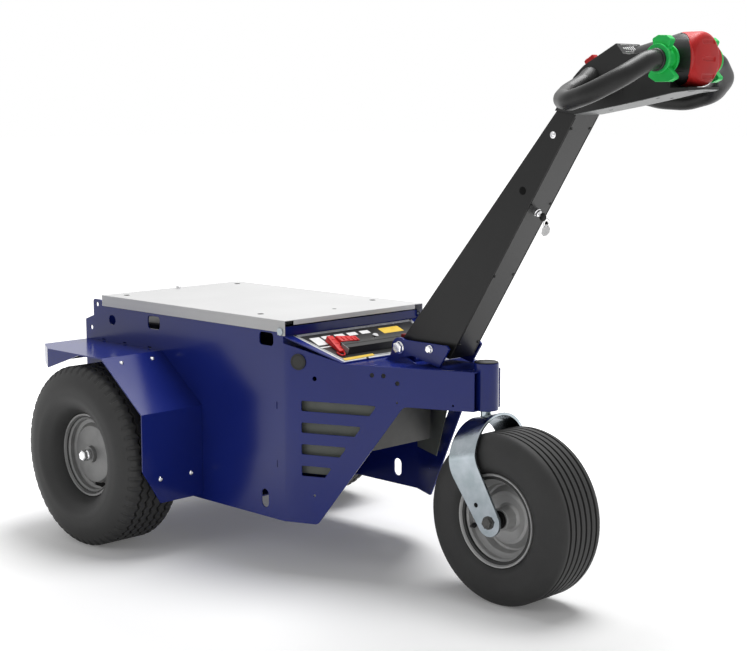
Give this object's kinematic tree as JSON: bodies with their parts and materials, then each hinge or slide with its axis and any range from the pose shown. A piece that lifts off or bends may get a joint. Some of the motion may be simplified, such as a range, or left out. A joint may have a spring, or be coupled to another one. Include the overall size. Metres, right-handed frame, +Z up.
{
  "type": "electric tow tractor",
  "caption": "Pedestrian electric tow tractor: folded sheet chassis on two driven wheels and a steering castor, with a hinged lid and a sloped tiller.",
  "frame": {"origin": "middle of the bounding box, on the floor", "axes": "+X towards the castor and the tiller head, +Z up, +Y to the left"},
  "size_m": [1.504, 0.752, 1.047],
  "materials": {
    "blue_paint": "gloss enamel",
    "white_paint": "satin powder coat",
    "black_paint": "satin powder coat",
    "rim_paint": "silver grey lacquer",
    "grey_sheet": "matt sheet metal",
    "cast_grey": "cast housing",
    "zinc": "bright zinc plate",
    "chrome": "polished",
    "tyre": "black rubber",
    "dash": "printed control plate",
    "battery_case": "plain plastic case",
    "black_plastic": "fine grained plastic",
    "grip_rubber": "smooth soft grip",
    "red_plastic": "satin red plastic",
    "green_plastic": "satin green plastic"
  },
  "bodies": {
    "chassis": {"side_panel_left": "blue_paint", "side_panel_right": "blue_paint", "fender_left": "blue_paint", "fender_right": "blue_paint", "chassis_tray": "blue_paint", "front_bulkhead": "blue_paint", "nose_plate": "blue_paint", "head_tube": "blue_paint", "pivot_lug": "blue_paint", "dash_panel": "dash", "battery_pack": "battery_case", "drive_unit": "cast_grey", "controller_box": "grey_sheet", "cable_plug": "black_plastic", "battery_connector": "red_plastic", "dash_bar": "black_plastic", "key_switch": "chrome", "lid_hinge_pins": "zinc"},
    "fork": {"castor_fork": "zinc", "kingpin": "zinc", "castor_axle": "zinc", "castor_spacers": "black_plastic"},
    "castor_wheel": {"castor_tyre": "tyre", "castor_rim": "rim_paint"},
    "rear_wheel_left": {"rear_tyre_left": "tyre", "rear_rim_left": "rim_paint", "rear_axle_left": "zinc"},
    "rear_wheel_right": {"rear_tyre_right": "tyre", "rear_rim_right": "rim_paint", "rear_axle_right": "zinc"},
    "lid": {"lid_panel": "white_paint", "lid_knob": "zinc"},
    "tiller": {"tiller_bracket": "blue_paint", "tiller_arm": "black_paint", "pivot_bolts": "zinc", "head_shell": "black_plastic", "stop_button": "red_plastic", "grip_loop_left": "grip_rubber", "grip_loop_right": "grip_rubber", "throttle_left": "green_plastic", "throttle_right": "green_plastic", "mode_switch": "red_plastic", "tiller_lock": "chrome"}
  },
  "joints": [
    {"name": "castor_swivel", "type": "hinge", "parent": "chassis", "child": "fork", "pos_m": [0.2743, 0, 0.3557], "axis": [0, 0, 1], "continuous": true},
    {"name": "castor_roll", "type": "hinge", "parent": "fork", "child": "castor_wheel", "pos_m": [0.3473, 0, 0.163], "axis": [0, 1, 0], "continuous": true},
    {"name": "roll_left", "type": "hinge", "parent": "chassis", "child": "rear_wheel_left", "pos_m": [-0.548, 0.3, 0.1923], "axis": [0, 1, 0], "continuous": true},
    {"name": "roll_right", "type": "hinge", "parent": "chassis", "child": "rear_wheel_right", "pos_m": [-0.548, -0.3, 0.1923], "axis": [0, 1, 0], "continuous": true},
    {"name": "lid_hinge", "type": "hinge", "parent": "chassis", "child": "lid", "pos_m": [-0.087, 0, 0.489], "axis": [0, 1, 0], "range_deg": [0, 60]},
    {"name": "tiller_tilt", "type": "hinge", "parent": "chassis", "child": "tiller", "pos_m": [0.093, 0, 0.461], "axis": [0, -1, 0], "range_deg": [0, 32]}
  ]
}
